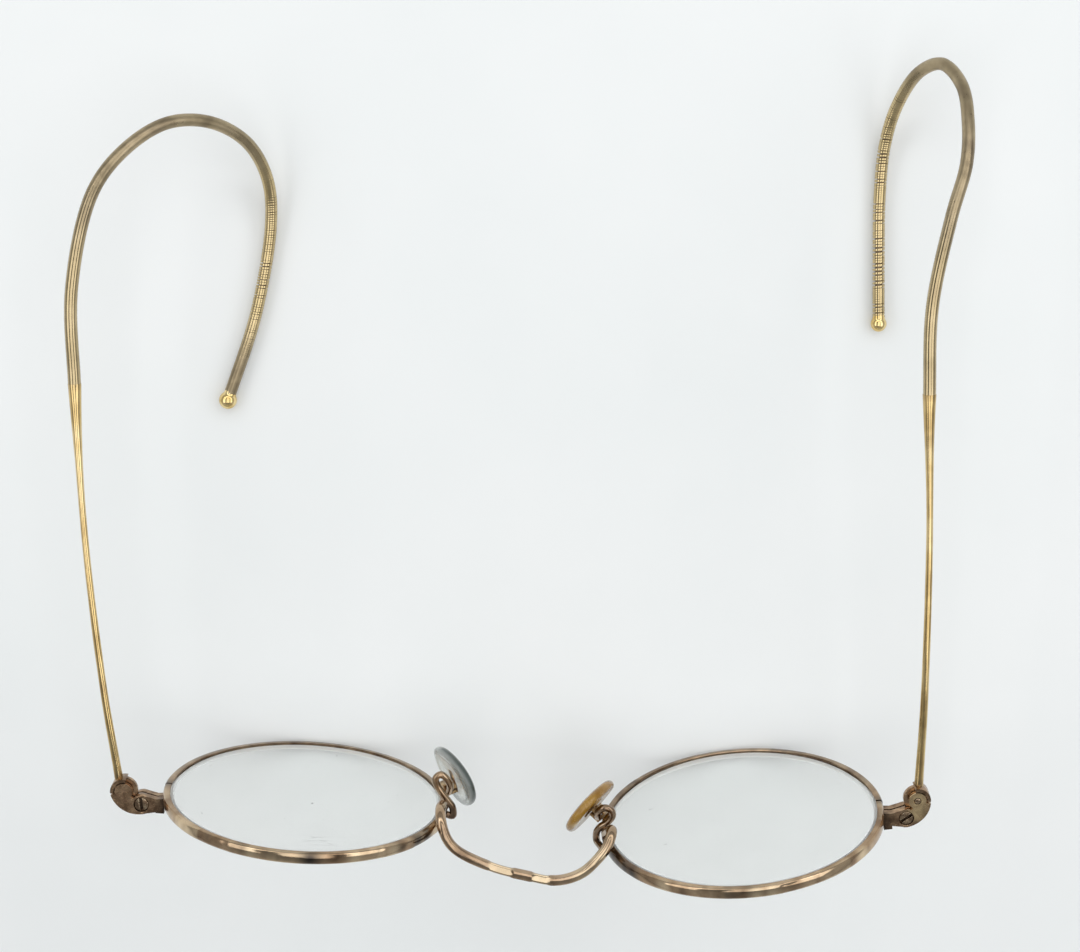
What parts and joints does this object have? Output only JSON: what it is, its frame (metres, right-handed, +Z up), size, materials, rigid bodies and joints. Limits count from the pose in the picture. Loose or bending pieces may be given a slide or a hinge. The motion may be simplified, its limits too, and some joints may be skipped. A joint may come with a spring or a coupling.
{
  "type": "metal eyeglasses",
  "caption": "Round-lens metal eyeglasses: a bent wire bridge, rocking nose pads, screwed end pieces and folding temples that end in wound cable ear hooks with ball tips.",
  "frame": {"origin": "bottom centre of the bounding box, on the table that the glasses stand on", "axes": "+X towards the wearer's left, +Y back towards the wearer and the ear hooks, +Z up"},
  "size_m": [0.1224, 0.1156, 0.0392],
  "materials": {
    "rim_gold": "worn rose gold, bright with dull patches",
    "bridge_gold": "polished rose gold",
    "endpiece_bronze": "dull brown bronze",
    "screw": "satin",
    "bar_gold": "polished yellow gold",
    "cable": "fine wound wire, olive gold",
    "ball_gold": "polished gold",
    "pad_mount": "dark tarnished brown",
    "right_pad": "clear grey green",
    "left_pad": "amber, slightly cloudy",
    "lens": "clear, a few specks and scratches"
  },
  "bodies": {
    "front": {"bridge": "bridge_gold", "right_rim": "rim_gold", "right_lens": "lens", "right_endpiece_upper": "endpiece_bronze", "right_endpiece_lower": "endpiece_bronze", "right_rim_screw": "screw", "right_hinge_pin": "screw", "right_pad_arm": "bridge_gold", "right_pad_box": "pad_mount", "right_pad_pin": "screw", "left_rim": "rim_gold", "left_lens": "lens", "left_endpiece_upper": "endpiece_bronze", "left_endpiece_lower": "endpiece_bronze", "left_rim_screw": "screw", "left_hinge_pin": "screw", "left_pad_arm": "bridge_gold", "left_pad_box": "pad_mount", "left_pad_pin": "screw"},
    "right_nose_pad": {"right_pad": "right_pad", "right_pad_stud": "pad_mount"},
    "right_temple": {"right_temple_joint": "endpiece_bronze", "right_temple_bar": "bar_gold", "right_cable_core": "cable", "right_cable_winding": "cable", "right_tip_ball": "ball_gold"},
    "left_nose_pad": {"left_pad": "left_pad", "left_pad_stud": "pad_mount"},
    "left_temple": {"left_temple_joint": "endpiece_bronze", "left_temple_bar": "bar_gold", "left_cable_core": "cable", "left_cable_winding": "cable", "left_tip_ball": "ball_gold"}
  },
  "joints": [
    {"name": "right_temple_hinge", "type": "hinge", "parent": "front", "child": "right_temple", "pos_m": [-0.0525, -0.04949, 0.01957], "axis": [0.0034, 0.1027, -0.9947], "range_deg": [-5, 75]},
    {"name": "left_temple_hinge", "type": "hinge", "parent": "front", "child": "left_temple", "pos_m": [0.05921, -0.04516, 0.01954], "axis": [0.0323, -0.2019, 0.9789], "range_deg": [-5, 75]},
    {"name": "right_pad_rock", "type": "hinge", "parent": "front", "child": "right_nose_pad", "pos_m": [-0.00671, -0.04739, 0.01773], "axis": [0.3108, -0.9455, -0.0966], "range_deg": [-8, 8]},
    {"name": "left_pad_rock", "type": "hinge", "parent": "front", "child": "left_nose_pad", "pos_m": [0.01439, -0.04997, 0.01778], "axis": [0.5602, 0.8148, 0.1496], "range_deg": [-8, 8]}
  ]
}
